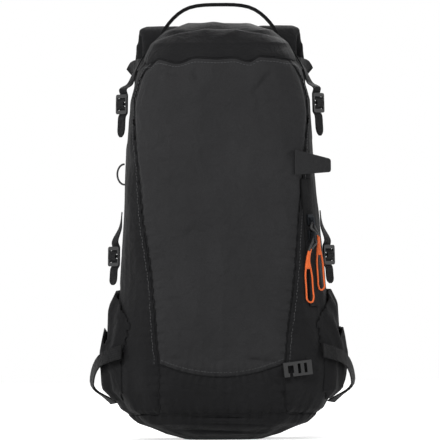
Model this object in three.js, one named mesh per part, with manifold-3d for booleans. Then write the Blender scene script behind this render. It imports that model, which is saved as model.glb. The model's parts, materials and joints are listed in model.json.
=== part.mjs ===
// Avalanche airbag backpack: a soft bag on a stayed back sheet, with an electric fan unit, a folded airbag,
// a trigger on the left shoulder strap, hip wings, side straps, ski loops and a two-way main zip.
// Millimetres, +Z up. The front (away from the wearer) faces -Y, the wearer's back is at +Y, and the origin
// is the centre of the flat foot of the base.
import * as THREE from "three";
import { mergeVertices } from "three/addons/utils/BufferGeometryUtils.js";
import Module from "manifold-3d";

const wasm = await Module();
wasm.setup();

// ---- driving dimensions ----
const BAG_HEIGHT = 566; // foot to the top of the hood
const HALF_WIDTH = 153; // widest half width of the bag, low down
const FRONT_REACH = 113; // furthest the front stands from the origin plane
const BACK_REACH = 86; // rear wall from the origin plane
const CORNER_POWER = 3.4; // squareness of the bag's horizontal section
const WALL = 4; // padded fabric wall
const GAP = 0.4; // clearance between pieces that meet
const SEAM_TOP = 118; // half width of the front panel at the hood line
const SEAM_FOOT = 85; // half width of the front panel at its lower hem
const FOOT_TOP = 36; // top of the base tub
const HEM_RISE = 68; // height of the front panel's hem above the base tub at its ends
const HEM_DIP = 36; // how far the hem's control point drops in the middle
const HOOD_DROP = 54; // hood line below the top of the bag
const REAR_CUT = 62; // where the side walls meet the rear wall

const WEB = 20; // shoulder webbing width
const SIDE_WEB = 16; // side strap width
const LIFTER_WEB = 15; // load lifter width
const WEB_T = 1.6; // webbing thickness
const WEB_CLEAR = 0.8; // between webbing's edge and the end of a slot
const LOCK_SIDE = 3.2; // a ladder lock's frame beside its slots
const LOCK_H = 27; // ladder lock height
const LOCK_T = 3; // ladder lock thickness
const LOCK_SLOT = 6.4; // slot height
const WEAVE = 3.8; // how far webbing passes above and below a lock's bars

const STRAP_W = 67; // shoulder strap width at the shoulder
const STRAP_END_W = 52; // shoulder strap width at its lower end
const STRAP_T = 14; // shoulder strap thickness
const WING_T = 13; // hip wing thickness
const WING_H = 88; // hip wing height at its root
const WING_TIP_H = 54; // hip wing height at its tip
const BELT_WEB = 30; // hip belt webbing width

const SHEET_MARGIN = 8; // between the frame sheet's edge and the bag's inner face
const SHEET_T = 2.5;
const ROD_R = 3; // frame stay radius
const FAN_R = 56; // fan chamber outer radius
const CASE_WALL = 2.5;
const CASE_HALF = 60; // half width of the electronics end of the case
const CASE_DEPTH = 44; // depth of the fan unit's case
const SHAFT_R = 3;
const CABLE_R = 2.2; // trigger cable radius
const CORD_R = 1.2; // zip pull cord radius
const CORD_BEND = 4.8; // radius of the turn at the foot of a zip pull
const LOOP_R = 14; // elastic loop radius

// ---- the bag's outline: height, half width, front and back reach, each as a share of its driving size ----
const OUTLINE = [
  [0, 0.33, 0.51, 0.65],
  [0.014, 0.5, 0.73, 0.86],
  [0.039, 0.74, 0.88, 0.95],
  [0.074, 0.895, 0.965, 0.99],
  [0.117, 0.985, 1, 1],
  [0.177, 0.99, 1, 1],
  [0.265, 0.935, 0.973, 1],
  [0.707, 0.824, 0.814, 1],
  [0.813, 0.797, 0.743, 1],
  [0.892, 0.72, 0.637, 0.977],
  [0.95, 0.61, 0.478, 0.953],
  [0.982, 0.47, 0.3, 0.907],
  [1, 0.275, 0.035, 0.814],
];
const stations = OUTLINE.map(([h, w, f, b]) => ({
  z: h * BAG_HEIGHT,
  half: w * HALF_WIDTH,
  front: -f * FRONT_REACH,
  back: b * BACK_REACH,
}));
const HOOD_LINE = BAG_HEIGHT - HOOD_DROP;

// The section of the bag at a height, between the stations.
function sectionAt(z) {
  const last = stations.length - 1;
  const i = Math.max(0, Math.min(last - 1, stations.findIndex((s) => s.z > z) - 1));
  const above = z >= stations[last].z ? last - 1 : i;
  const a = stations[above];
  const b = stations[above + 1];
  const t = (z - a.z) / (b.z - a.z);
  const mix = (key) => a[key] + (b[key] - a[key]) * t;
  return { z, half: mix("half"), front: mix("front"), back: mix("back") };
}

function flank(share) {
  return Math.pow(Math.max(0, 1 - Math.pow(Math.min(1, share), CORNER_POWER)), 1 / CORNER_POWER);
}

// x of the bag's side at a height and y, grown outwards by stand.
function sideX(z, y, stand = 0) {
  const s = sectionAt(z);
  const middle = (s.front + s.back) / 2;
  const deep = (s.back - s.front) / 2 + stand;
  return (s.half + stand) * flank(Math.abs(y - middle) / deep);
}

// y of the bag's front at a height and x, grown outwards by stand.
function frontY(z, x, stand = 0) {
  const s = sectionAt(z);
  const deep = (s.back - s.front) / 2 + stand;
  return (s.front + s.back) / 2 - deep * flank(Math.abs(x) / (s.half + stand));
}

// y of the bag's rear at a height and x.
function rearY(z, x, stand = 0) {
  const s = sectionAt(z);
  const deep = (s.back - s.front) / 2 + stand;
  return (s.front + s.back) / 2 + deep * flank(Math.abs(x) / (s.half + stand));
}

const at = (share) => share * BAG_HEIGHT;
const point = (x, y, z) => new THREE.Vector3(x, y, z);

// ---- shape helpers ----
// A closed solid through rings of points, with flat ends.
function loft(rings) {
  const sides = rings[0].length;
  const position = [];
  const index = [];
  rings.forEach((ring) => ring.forEach((p) => position.push(p.x, p.y, p.z)));
  for (let i = 0; i < rings.length - 1; i++)
    for (let j = 0; j < sides; j++) {
      const a = i * sides + j;
      const b = i * sides + ((j + 1) % sides);
      index.push(a, b, a + sides, b, b + sides, a + sides);
    }
  const ends = [rings[0], rings[rings.length - 1]];
  ends.forEach((ring, end) => {
    const centre = ring.reduce((sum, p) => sum.add(p), new THREE.Vector3()).divideScalar(sides);
    const hub = position.length / 3;
    position.push(centre.x, centre.y, centre.z);
    const first = end ? (rings.length - 1) * sides : 0;
    for (let j = 0; j < sides; j++) {
      const a = first + j;
      const b = first + ((j + 1) % sides);
      index.push(...(end ? [hub, a, b] : [hub, b, a]));
    }
  });
  const made = new THREE.BufferGeometry();
  made.setAttribute("position", new THREE.Float32BufferAttribute(position, 3));
  made.setIndex(index);
  return facingOut(made);
}

// Turns every face round if the surface encloses a negative volume.
function facingOut(geometry) {
  const p = geometry.attributes.position;
  const order = geometry.index.array;
  const [a, b, c] = [point(), point(), point()];
  let volume = 0;
  for (let i = 0; i < order.length; i += 3) {
    a.fromBufferAttribute(p, order[i]);
    b.fromBufferAttribute(p, order[i + 1]);
    c.fromBufferAttribute(p, order[i + 2]);
    volume += a.dot(b.cross(c));
  }
  if (volume < 0) {
    for (let i = 0; i < order.length; i += 3) {
      [order[i + 1], order[i + 2]] = [order[i + 2], order[i + 1]];
    }
  }
  return geometry;
}

function solid(geometry) {
  const bare = geometry.clone();
  bare.deleteAttribute("normal");
  bare.deleteAttribute("uv");
  const merged = facingOut(mergeVertices(bare, 1e-3));
  return new wasm.Manifold(
    new wasm.Mesh({
      numProp: 3,
      vertProperties: merged.attributes.position.array,
      triVerts: new Uint32Array(merged.index.array),
    }),
  );
}

function geometryOf(manifold) {
  const mesh = manifold.getMesh();
  const made = new THREE.BufferGeometry();
  made.setAttribute("position", new THREE.Float32BufferAttribute(mesh.vertProperties, 3));
  made.setIndex([...mesh.triVerts]);
  return made;
}

const cut = (body, ...tools) => geometryOf(tools.reduce((left, t) => left.subtract(solid(t)), solid(body)));
const join = (...bodies) => geometryOf(bodies.map(solid).reduce((sum, b) => sum.add(b)));
const common = (a, b) => geometryOf(solid(a).intersect(solid(b)));

// The same shape on the other side of the YZ plane.
function mirrored(geometry) {
  const made = geometry.index ? geometry.clone() : mergeVertices(geometry.clone(), 1e-3);
  made.applyMatrix4(new THREE.Matrix4().makeScale(-1, 1, 1));
  return facingOut(made);
}

function box(x0, x1, y0, y1, z0, z1) {
  const made = new THREE.BoxGeometry(x1 - x0, y1 - y0, z1 - z0);
  return made.translate((x0 + x1) / 2, (y0 + y1) / 2, (z0 + z1) / 2);
}

// A cylinder along Y between two faces.
function drum(x, z, radius, y0, y1, sides = 32) {
  const made = new THREE.CylinderGeometry(radius, radius, y1 - y0, sides);
  return made.translate(x, (y0 + y1) / 2, z);
}

// An outline of [x, z] points made thick along Y.
function plate(outline, y0, y1, holes = []) {
  const shape = new THREE.Shape(outline.map(([x, z]) => new THREE.Vector2(x, z)));
  holes.forEach((h) => shape.holes.push(new THREE.Path(h.map(([x, z]) => new THREE.Vector2(x, z)))));
  const made = new THREE.ExtrudeGeometry(shape, { depth: y1 - y0, bevelEnabled: false });
  return made.rotateX(Math.PI / 2).translate(0, y1, 0);
}

function rectangle(x0, x1, z0, z1, corner = 0) {
  if (!corner) return [[x0, z0], [x1, z0], [x1, z1], [x0, z1]];
  const points = [];
  const [left, right, low, high] = [x0 + corner, x1 - corner, z0 + corner, z1 - corner];
  const centres = [[right, low], [right, high], [left, high], [left, low]];
  centres.forEach(([x, z], quarter) => {
    for (let i = 0; i <= 3; i++) {
      const angle = ((quarter - 1 + i / 3) * Math.PI) / 2;
      points.push([x + corner * Math.cos(angle), z + corner * Math.sin(angle)]);
    }
  });
  return points;
}

// A right-handed set of directions at a point: across, out and along.
function frame(position, along, across) {
  const ahead = along.clone().normalize();
  const out = ahead.clone().cross(across).normalize();
  return { at: position, along: ahead, out, across: out.clone().cross(ahead).normalize() };
}

function placed(geometry, f) {
  const basis = new THREE.Matrix4().makeBasis(f.across, f.out, f.along).setPosition(f.at);
  return geometry.applyMatrix4(basis);
}

const offset = (f, across, out, along) =>
  f.at.clone().addScaledVector(f.across, across).addScaledVector(f.out, out).addScaledVector(f.along, along);

// A flat strip along a smooth curve. across is a direction, or a function of the share along the curve.
function strip(points, across, width, thick, steps) {
  const curve = new THREE.CatmullRomCurve3(points, false, "centripetal");
  const wide = typeof width === "function" ? width : () => width;
  const deep = typeof thick === "function" ? thick : () => thick;
  const side = typeof across === "function" ? across : () => across;
  const rings = [];
  for (let i = 0; i <= steps; i++) {
    const u = i / steps;
    const f = frame(curve.getPoint(u), curve.getTangent(u), side(u));
    const w = wide(u) / 2;
    const t = deep(u) / 2;
    rings.push([offset(f, -w, -t, 0), offset(f, w, -t, 0), offset(f, w, t, 0), offset(f, -w, t, 0)]);
  }
  return loft(rings);
}

// A padded strip: the same, with chamfered long edges.
function padStrip(points, across, width, thick, steps) {
  const curve = new THREE.CatmullRomCurve3(points, false, "centripetal");
  const rings = [];
  for (let i = 0; i <= steps; i++) {
    const u = i / steps;
    const f = frame(curve.getPoint(u), curve.getTangent(u), across(u));
    const w = width(u) / 2;
    const t = thick(u) / 2;
    const edge = t * 0.9;
    const rim = t * 0.4;
    const inner = [[-w, -rim], [-w + edge, -t], [w - edge, -t], [w, -rim]];
    const outer = [[w, rim], [w - edge, t], [-w + edge, t], [-w, rim]];
    rings.push([...inner, ...outer].map(([a, o]) => offset(f, a, o, 0)));
  }
  return loft(rings);
}

// A round cord along a smooth curve.
function cord(points, radius, steps, sides = 8) {
  const section = new THREE.Shape();
  section.absarc(0, 0, radius, 0, Math.PI * 2);
  const extrudePath = new THREE.CatmullRomCurve3(points, false, "centripetal");
  const settings = { steps, curveSegments: sides / 2, bevelEnabled: false, extrudePath };
  return new THREE.ExtrudeGeometry(section, settings);
}

const lerp = (a, b, u) => a + (b - a) * u;
const blendOf = (a, b) => (u) => a.clone().lerp(b, u).normalize();
// A strip's width that narrows to a round end over the last share of it.
const roundedEnd = (width, share) => (u) => {
  const past = Math.max(0, (u - 1 + share) / share);
  return width * Math.sqrt(1 - 0.91 * past * past);
};

// ---- materials ----
function matter(color, roughness, metalness = 0) {
  return new THREE.MeshStandardMaterial({ color, roughness, metalness });
}
const SHELL_CLOTH = matter(0x303030, 0.8);
const DARK_CLOTH = matter(0x1e1e1f, 0.85);
const STRETCH_CLOTH = matter(0x232324, 0.9);
const PAD_MESH = matter(0x1b1b1b, 0.95);
const WEBBING = matter(0x121212, 0.75);
const ACETAL = matter(0x0a0a0a, 0.4);
const ORANGE_CORD = matter(0xf26a1b, 0.6);
const ORANGE_PLASTIC = matter(0xe8591a, 0.45);
const ELASTIC = matter(0x0c0c0c, 0.7);
const ZIP_TAPE = matter(0x101010, 0.6);
const ZINC = matter(0x3a3c3e, 0.35, 0.8);
const SHEET_PLASTIC = matter(0x26282a, 0.6);
const ALLOY = matter(0xa9adb0, 0.35, 0.9);
const CASE_PLASTIC = matter(0x2c2e30, 0.5);
const FAN_PLASTIC = matter(0xd8dadb, 0.4);
const MOTOR_STEEL = matter(0x8c9094, 0.35, 0.9);
const BOARD = matter(0x1d5b35, 0.5);
const CELL_WRAP = matter(0x2a3f6e, 0.4);
const BALLOON_CLOTH = matter(0xd8431c, 0.7);

const pack = new THREE.Group();
function add(name, geometry, material) {
  const mesh = new THREE.Mesh(geometry, material);
  mesh.name = name;
  pack.add(mesh);
}
function addPair(name, right, material) {
  add(name + "_right", right, material);
  add(name + "_left", mirrored(right), material);
}

// ---- bag panels: one shell, cut along its seams ----
const RING_POINTS = 36;
// A level ring that is between an ellipse and a rectangle: the smaller the power, the squarer.
function superRing(count, power, half, deep, middle, z) {
  const bent = (value) => Math.sign(value) * Math.pow(Math.abs(value), power);
  return Array.from({ length: count }, (_, i) => {
    const t = (i / count) * Math.PI * 2;
    return point(half * bent(Math.cos(t)), middle + deep * bent(Math.sin(t)), z);
  });
}
// The bag's outer form, drawn in by an inset.
function bagLoft(inset) {
  const rings = stations.map((s) => {
    const z = inset + (s.z / BAG_HEIGHT) * (BAG_HEIGHT - 2 * inset);
    const deep = (s.back - s.front) / 2 - inset;
    return superRing(RING_POINTS, 2 / CORNER_POWER, s.half - inset, deep, (s.front + s.back) / 2, z);
  });
  return loft(rings);
}
const shell = cut(bagLoft(0), bagLoft(WALL));
const bagGrown = bagLoft(-GAP);
const BIG = 2 * BAG_HEIGHT;
const HEM = FOOT_TOP + HEM_RISE;
const SHOULDER_INSET = 24; // how far the front panel's top corners draw in under the hood
// the rounded corner below that, as an inset from the seam and a height
const SHOULDER = [[0, at(0.76)], [2, at(0.82)], [8, at(0.862)], [15, at(0.885)]];

// The front panel's edges seen from the front, grown sideways by grow, down to a height or to the curved hem.
function frontOutline(grow, foot, hem) {
  const shoulder = SHOULDER.map(([inset, z]) => [SEAM_TOP - inset + grow, z + grow / 2]);
  const corner = [SEAM_TOP - SHOULDER_INSET + grow, HOOD_LINE - GAP / 2];
  const right = [...shoulder, corner];
  const outline = [...right, ...right.map(([x, z]) => [-x, z]).reverse()];
  const half = SEAM_FOOT + grow;
  if (!hem) return [...outline, [-half, HEM], [-half, foot], [half, foot], [half, HEM]];
  const curve = new THREE.QuadraticBezierCurve(
    new THREE.Vector2(-half, HEM + foot),
    new THREE.Vector2(0, HEM - HEM_DIP + foot),
    new THREE.Vector2(half, HEM + foot),
  );
  return [...outline, ...curve.getPoints(10).map((p) => [p.x, p.y])];
}
const frontHalf = (outline) => plate(outline, -BIG, 0);
const aboveHem = frontHalf(frontOutline(0, 0, true));
const seamColumn = frontHalf(frontOutline(GAP, FOOT_TOP - GAP, false));
const lowerFront = cut(
  frontHalf(rectangle(-SEAM_FOOT, SEAM_FOOT, FOOT_TOP - 1, HEM + 1)),
  frontHalf(frontOutline(GAP * 2, -GAP, true)),
);

const tubZone = join(box(-BIG, BIG, -BIG, BIG, -BIG, FOOT_TOP - GAP / 2), lowerFront);
add("base_tub", common(shell, tubZone), DARK_CLOTH);

// Main zip: a straight two-way zip on the right front corner, let into the panels.
const ZIP_W = 18;
const ZIP_T = 2.6;
const ZIP_FLANK = 0.887; // share of the bag's half width where the zip lies
const ZIP_LOW = at(0.318);
const ZIP_HIGH = at(0.622);
const cornerSlope = (x, z) => Math.atan2(frontY(z, x + 1) - frontY(z, x - 1), 2);
const zipPoint = (z) => {
  const x = ZIP_FLANK * sectionAt(z).half;
  return point(x, frontY(z, x), z);
};
const zipDirection = zipPoint(ZIP_HIGH).sub(zipPoint(ZIP_LOW)).normalize();
const zipMiddle = zipPoint((ZIP_LOW + ZIP_HIGH) / 2);
const zipSlope = cornerSlope(zipMiddle.x, zipMiddle.z);
const zipAcross = point(Math.cos(zipSlope), Math.sin(zipSlope), 0);
// along is down the zip, so that out points away from the bag
const zipFrame = (z, stand) => {
  const f = frame(zipPoint(z), zipDirection.clone().negate(), zipAcross);
  f.at = offset(f, 0, stand, 0);
  return f;
};
const zipLength = zipPoint(ZIP_LOW).distanceTo(zipPoint(ZIP_HIGH));
const ZIP_STAND = 0.6; // the tape's face above the bag's corner
function zipBar(grow, out) {
  const across = ZIP_W / 2 + grow;
  const along = zipLength / 2 + grow;
  const bar = box(-across, across, -ZIP_T - grow, out, -along, along);
  return placed(bar, zipFrame((ZIP_LOW + ZIP_HIGH) / 2, ZIP_STAND));
}
add("main_zip", zipBar(0, 0), ZIP_TAPE);
const zipPocket = zipBar(GAP, 20);
add("front_panel", cut(common(shell, aboveHem), zipPocket), SHELL_CLOTH);

const sideBlock = box(GAP / 2, BIG, -BIG, REAR_CUT - GAP / 2, FOOT_TOP + GAP / 2, HOOD_LINE - GAP / 2);
const sideShell = cut(common(shell, sideBlock), seamColumn);
add("side_panel_right", cut(sideShell, zipPocket), DARK_CLOTH);
add("side_panel_left", mirrored(sideShell), DARK_CLOTH);

const REAR_TOP = at(0.954);
function rearZone(grow) {
  return box(-BIG, BIG, REAR_CUT + GAP / 2 - grow, BIG, FOOT_TOP + GAP / 2, REAR_TOP + grow);
}
const hoodZone = box(-BIG, BIG, -BIG, BIG, HOOD_LINE + GAP / 2, BIG);
add("top_hood", cut(common(shell, hoodZone), rearZone(GAP)), SHELL_CLOTH);

// Side pockets: stretch cloth over the flank, standing off it, with a slot from the mouth down.
const POCKET_LOW = FOOT_TOP + 18;
const POCKET_HIGH = at(0.36);
const POCKET_STAND = 14;
const POCKET_FRONT = -84;
const POCKET_REAR = 46;
const POCKET_SLOT = 5;
const SLOT_FLOOR = POCKET_LOW + 60;
const HEM_SLOPE = 42; // how far the mouth drops towards the front
const hemZ = (v) => POCKET_HIGH - HEM_SLOPE * Math.pow(1 - Math.min(1, v / 0.45), 1.3);
function pocket() {
  const rows = 9;
  const steps = 10;
  const rings = [];
  for (let i = 0; i <= rows; i++) {
    const u = i / rows;
    const swell = POCKET_STAND * Math.pow(Math.sin(Math.PI * Math.pow(u, 0.9)), 0.55) + 1.2;
    const ring = [];
    for (let j = 0; j <= steps; j++) {
      const v = j / steps;
      const y = lerp(POCKET_FRONT, POCKET_REAR, v);
      const z = lerp(POCKET_LOW, hemZ(v), u);
      const stand = GAP + 0.8 + swell * Math.pow(Math.sin(Math.PI * v), 0.5);
      ring.push(point(sideX(z, y) + stand, y, z));
    }
    const inner = (y, v) => {
      const z = lerp(POCKET_LOW, hemZ(v), u);
      return point(sideX(z, y) - 12, y, z);
    };
    rings.push([...ring, inner(POCKET_REAR, 1), inner(POCKET_FRONT, 0)]);
  }
  return loft(rings);
}
const slotX = sideX(SLOT_FLOOR, -12) + 2.4;
const pocketSlot = box(slotX, slotX + POCKET_SLOT, -52, 20, SLOT_FLOOR, BIG);
addPair("side_pocket", cut(pocket(), bagGrown, pocketSlot), STRETCH_CLOTH);

// ---- frame inside the rear wall ----
const SHEET_LOW = 45;
const SHEET_HIGH = at(0.848);
const SHEET_Y = 66;
const SHEET_BACK = SHEET_Y + SHEET_T;
const SHEET_HALF = sideX(SHEET_HIGH, SHEET_BACK + GAP, -WALL) - SHEET_MARGIN;
const sheetOutline = rectangle(-SHEET_HALF, SHEET_HALF, SHEET_LOW, SHEET_HIGH, 18);
add("frame_sheet", plate(sheetOutline, SHEET_Y, SHEET_BACK), SHEET_PLASTIC);
const STAY_INSET = 22; // the stay's legs from the sheet's edges
const STAY_X = SHEET_HALF - STAY_INSET;
const stayY = SHEET_BACK + ROD_R + 0.5;
const stayTop = SHEET_HIGH - 12 - STAY_X * 0.5;
const stayPath = [
  point(-STAY_X, stayY, SHEET_LOW + 20),
  point(-STAY_X, stayY, at(0.3)),
  point(-STAY_X, stayY, stayTop - 30),
  point(-STAY_X * 0.72, stayY, stayTop + 14),
  point(0, stayY, stayTop + 26),
  point(STAY_X * 0.72, stayY, stayTop + 14),
  point(STAY_X, stayY, stayTop - 30),
  point(STAY_X, stayY, at(0.3)),
  point(STAY_X, stayY, SHEET_LOW + 20),
];
add("frame_stay", cord(stayPath, ROD_R, 44), ALLOY);

// Back pad: one moulded foam pad with an air channel down the middle and a deeper lumbar end.
const PAD_Y = BACK_REACH + GAP;
const PAD_T = 16;
const PAD_LOW = 62;
const ANCHOR_Z = at(0.3); // where the shoulder webbing is sewn to the bag
const ANCHOR_INSET = 33.7; // from the bag's widest point at that height
const ANCHOR_X = sectionAt(ANCHOR_Z).half - ANCHOR_INSET;
const PAD_EDGE = 6; // between the pad and the webbing's lower end
const PAD_HALF = ANCHOR_X - WEB / 2 - PAD_EDGE;
const PAD_HIGH = at(0.86);
const padBlock = plate(rectangle(-PAD_HALF, PAD_HALF, PAD_LOW, PAD_HIGH, 30), PAD_Y, PAD_Y + PAD_T);
const channel = plate(rectangle(-15, 15, PAD_LOW + 96, BIG, 0), PAD_Y + 5, BIG);
add("back_pad", cut(padBlock, channel), PAD_MESH);

// ---- haul handle ----
const HANDLE_W = 22;
const HANDLE_T = 4.5;
const HANDLE_RISE = 29;
const HANDLE_Y = 70;
const footZ = at(0.935);
const footX = sectionAt(footZ).half * 0.86;
const handlePath = [
  point(footX + 2, HANDLE_Y - 6, footZ - 8),
  point(footX - 8, HANDLE_Y, BAG_HEIGHT - 8),
  point(footX * 0.55, HANDLE_Y, BAG_HEIGHT + HANDLE_RISE * 0.72),
  point(0, HANDLE_Y, BAG_HEIGHT + HANDLE_RISE - HANDLE_T / 2),
  point(-footX * 0.55, HANDLE_Y, BAG_HEIGHT + HANDLE_RISE * 0.72),
  point(-footX + 8, HANDLE_Y, BAG_HEIGHT - 8),
  point(-footX - 2, HANDLE_Y - 6, footZ - 8),
];
add("haul_handle", cut(strip(handlePath, point(0, 1, 0), HANDLE_W, HANDLE_T, 28), bagGrown), WEBBING);

// ---- shoulder straps ----
const strapX = (z) => lerp(96, 80, Math.max(0, (z - at(0.86)) / (at(1) - at(0.86))));
const STRAP_BACK = PAD_Y + PAD_T;
const STRAP_PEAK = BAG_HEIGHT + 2 - STRAP_T / 2;
const strapPath = [
  point(76, STRAP_BACK + 1, at(0.885)),
  point(77, STRAP_BACK + 2, at(0.945)),
  point(79, STRAP_BACK + 18, STRAP_PEAK - 2),
  point(83, STRAP_BACK + 42, STRAP_PEAK - 14),
  point(strapX(at(0.89)), STRAP_BACK + 56, at(0.89)),
  point(strapX(0), STRAP_BACK + 60, at(0.79)),
  point(strapX(0) + 1, STRAP_BACK + 55, at(0.69)),
  point(strapX(0) + 2, STRAP_BACK + 50, at(0.59)),
  point(strapX(0) + 2, STRAP_BACK + 45, at(0.5)),
];
const strapCurve = new THREE.CatmullRomCurve3(strapPath, false, "centripetal");
const strapAcross = (u) => {
  const turn = THREE.MathUtils.clamp((u - 0.35) / 0.4, 0, 1);
  return point(-1, 0, 0).lerp(point(-0.9, 0.44, 0), turn).normalize();
};
const strapWidth = (u) => lerp(STRAP_W, STRAP_END_W, u);
const strapThick = (u) => lerp(STRAP_T, STRAP_T * 0.72, u);
const shoulderStrap = padStrip(strapPath, strapAcross, strapWidth, strapThick, 22);
const strapFrame = (u) => frame(strapCurve.getPoint(u), strapCurve.getTangent(u), strapAcross(u));

// Ladder lock for webbing of a width: a frame with three bars and two slots, flat across local XZ.
const LOCK_BAR = 4.2; // depth of its middle bar
function ladderLock(f, web) {
  const slotHalf = web / 2 + WEB_CLEAR;
  const half = slotHalf + LOCK_SIDE;
  const slot = (z) => rectangle(-slotHalf, slotHalf, z - LOCK_SLOT / 2, z + LOCK_SLOT / 2);
  const reach = (LOCK_SLOT + LOCK_BAR) / 2;
  const outline = rectangle(-half, half, -LOCK_H / 2, LOCK_H / 2, 3);
  return placed(plate(outline, -LOCK_T / 2, LOCK_T / 2, [slot(-reach), slot(reach)]), f);
}
// The points where webbing passes under, over and under a lock's bars.
const woven = (f) => {
  const bar = LOCK_SLOT + LOCK_BAR;
  return [offset(f, 0, -WEAVE, -bar), offset(f, 0, WEAVE, 0), offset(f, 0, -WEAVE, bar)];
};

// Lower webbing: hangs from the strap's end through a lock down to the rear corner.
const lockDrop = 26;
const strapEnd = strapFrame(1);
const lowerLock = { ...strapEnd, at: offset(strapEnd, 0, 0, lockDrop) };
const lowerAnchor = point(ANCHOR_X, rearY(ANCHOR_Z, ANCHOR_X) + 5, ANCHOR_Z);
const lowerPath = [
  offset(lowerLock, 0, 2.2, -21),
  ...woven(lowerLock),
  offset(lowerLock, 0, -4, 26),
  lowerAnchor.clone().add(point(3, 26, 34)),
  lowerAnchor,
];
const squared = (u) => strapEnd.across.clone().lerp(point(-1, 0, 0), Math.max(0, u - 0.5) * 2).normalize();
const lowerWebbing = strip(lowerPath, squared, WEB, WEB_T, 34);
addPair("shoulder_lock", ladderLock(lowerLock, WEB), ACETAL);
addPair("shoulder_webbing", lowerWebbing, WEBBING);

// Load lifter: from the top corner of the bag to the outer edge of the strap.
const lifterZ = at(0.905);
const lifterFrom = point(sideX(lifterZ - 10, 66) + 3, 66, lifterZ);
const strapSide = (u, clear) => offset(strapFrame(u), -strapWidth(u) / 2 - clear, 0, 0);
const lifterClear = GAP + WEB_T / 2;
const lifterStrap = strip(
  [
    lifterFrom,
    point(lifterFrom.x + 9, lifterFrom.y + 15, lifterZ),
    point(strapSide(0.05, 3).x, STRAP_BACK - 6, lifterZ),
    point(strapSide(0.2, 3).x, STRAP_BACK + 16, lifterZ),
    strapSide(0.45, lifterClear + 3.5).setZ(lifterZ - 4),
    strapSide(0.5, lifterClear + 1.9).setZ(lifterZ - 10),
  ],
  point(0, 0, 1),
  LIFTER_WEB,
  WEB_T,
  18,
);

// ---- trigger on the left strap: cable inside the strap, socket on its outer face, T handle below ----
const onLeft = (p) => point(-p.x, p.y, p.z);
const leftFrame = (u) => {
  const f = strapFrame(u);
  return frame(onLeft(f.at), onLeft(f.along), onLeft(f.across).negate());
};
const SOCKET_U = 0.62; // place of the trigger socket along the left strap
const socketFrame = leftFrame(SOCKET_U);
const SOCKET_L = 34;
const SOCKET_W = 24;
const SOCKET_T = 13;
const socketLift = STRAP_T / 2 + GAP + SOCKET_T / 2;
const socketMid = { ...socketFrame, at: offset(socketFrame, 0, socketLift, 0) };
const STEM_R = 4.4;
// A round bar along the strap, between two places along it.
function stemBar(radius, from, to) {
  const bar = new THREE.CylinderGeometry(radius, radius, to - from, 20).rotateX(Math.PI / 2);
  return bar.translate(0, 0, (from + to) / 2);
}
const [socketX, socketY, socketZ] = [SOCKET_W / 2, SOCKET_T / 2, SOCKET_L / 2];
const socketBlock = box(-socketX, socketX, -socketY, socketY, -socketZ, socketZ);
const stemHole = stemBar(STEM_R + 0.5, SOCKET_L / 2 - 19, SOCKET_L / 2 + 7);
add("trigger_socket", placed(cut(socketBlock, stemHole), socketMid), ACETAL);
const grip = new THREE.CylinderGeometry(8, 8, 46, 20).rotateZ(Math.PI / 2).scale(1, 0.78, 1);
const stem = stemBar(STEM_R, SOCKET_L / 2 - 10, SOCKET_L / 2 + 20);
const triggerHandle = join(stem, grip.translate(0, 1, SOCKET_L / 2 + 25));
add("trigger_handle", placed(triggerHandle, socketMid), ORANGE_PLASTIC);

const CASE_BACK = SHEET_Y - GAP;
const CASE_FRONT = CASE_BACK - CASE_DEPTH;
const FAN_Z = at(0.705);
const exitPoint = point(-36, CASE_BACK - 14, FAN_Z + FAN_R * 0.9);
const socketTop = offset(socketMid, 0, 0, -SOCKET_L / 2 - GAP);
const PORT_X = 66; // where the cable leaves the bag
const PORT_Z = at(0.9);
const cablePath = [
  exitPoint,
  point(-50, SHEET_Y - 8, SHEET_HIGH + 6),
  point(-PORT_X + 2, SHEET_Y + 10, PORT_Z - 8),
  point(-PORT_X, BACK_REACH + 2, PORT_Z),
  onLeft(strapCurve.getPoint(0.06)).add(point(6, 0, 4)),
  ...[0.15, 0.24, 0.33, 0.42, 0.47].map((u) => onLeft(strapCurve.getPoint(u))),
  offset(leftFrame(SOCKET_U - 0.1), 0, 6, 0),
  offset(socketMid, 0, 0, -SOCKET_L / 2 - 14),
  socketTop,
];
add("trigger_cable", cord(cablePath, CABLE_R, 60), ELASTIC);
const cableBore = cord(cablePath, CABLE_R + 0.7, 60);
add("rear_panel", cut(common(shell, rearZone(0)), cableBore), STRETCH_CLOTH);
add("shoulder_strap_right", shoulderStrap, PAD_MESH);
add("shoulder_strap_left", cut(mirrored(shoulderStrap), cableBore), PAD_MESH);
addPair("load_lifter", lifterStrap, WEBBING);

// ---- fan unit ----
const CASE_LOW = FAN_Z - FAN_R - 122;
const SPLIT_Z = FAN_Z - 30;
const COVER_T = 2.6;
const hullOutline = (inset) => {
  const points = [];
  const from = -Math.asin((FAN_Z - SPLIT_Z) / FAN_R);
  for (let i = 0; i <= 28; i++) {
    const a = lerp(from, Math.PI - from, i / 28);
    points.push([(FAN_R - inset) * Math.cos(a), FAN_Z + (FAN_R - inset) * Math.sin(a)]);
  }
  const half = CASE_HALF - inset;
  const low = CASE_LOW + inset;
  return [...points, [-half, SPLIT_Z - 24], [-half, low], [half, low], [half, SPLIT_Z - 24]];
};
const DUCT_HALF = 24;
const DUCT_TOP = SHEET_HIGH + 4;
function ductBox(inset, low) {
  const half = DUCT_HALF - inset;
  return box(-half, half, CASE_FRONT + 8 + inset, CASE_BACK - 4 - inset, low, DUCT_TOP + inset);
}
const trough = plate(hullOutline(CASE_WALL), CASE_FRONT - 1, CASE_BACK - CASE_WALL);
const rearShell = plate(hullOutline(0), CASE_FRONT, CASE_BACK);
const fanFoot = FAN_Z - FAN_R;
const fanTop = FAN_Z + FAN_R;
const bulkheadHalf = CASE_HALF - 1;
const bulkhead = box(-bulkheadHalf, bulkheadHalf, CASE_FRONT + 2, CASE_BACK - 1, fanFoot + 0.5, fanFoot + 3);
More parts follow.
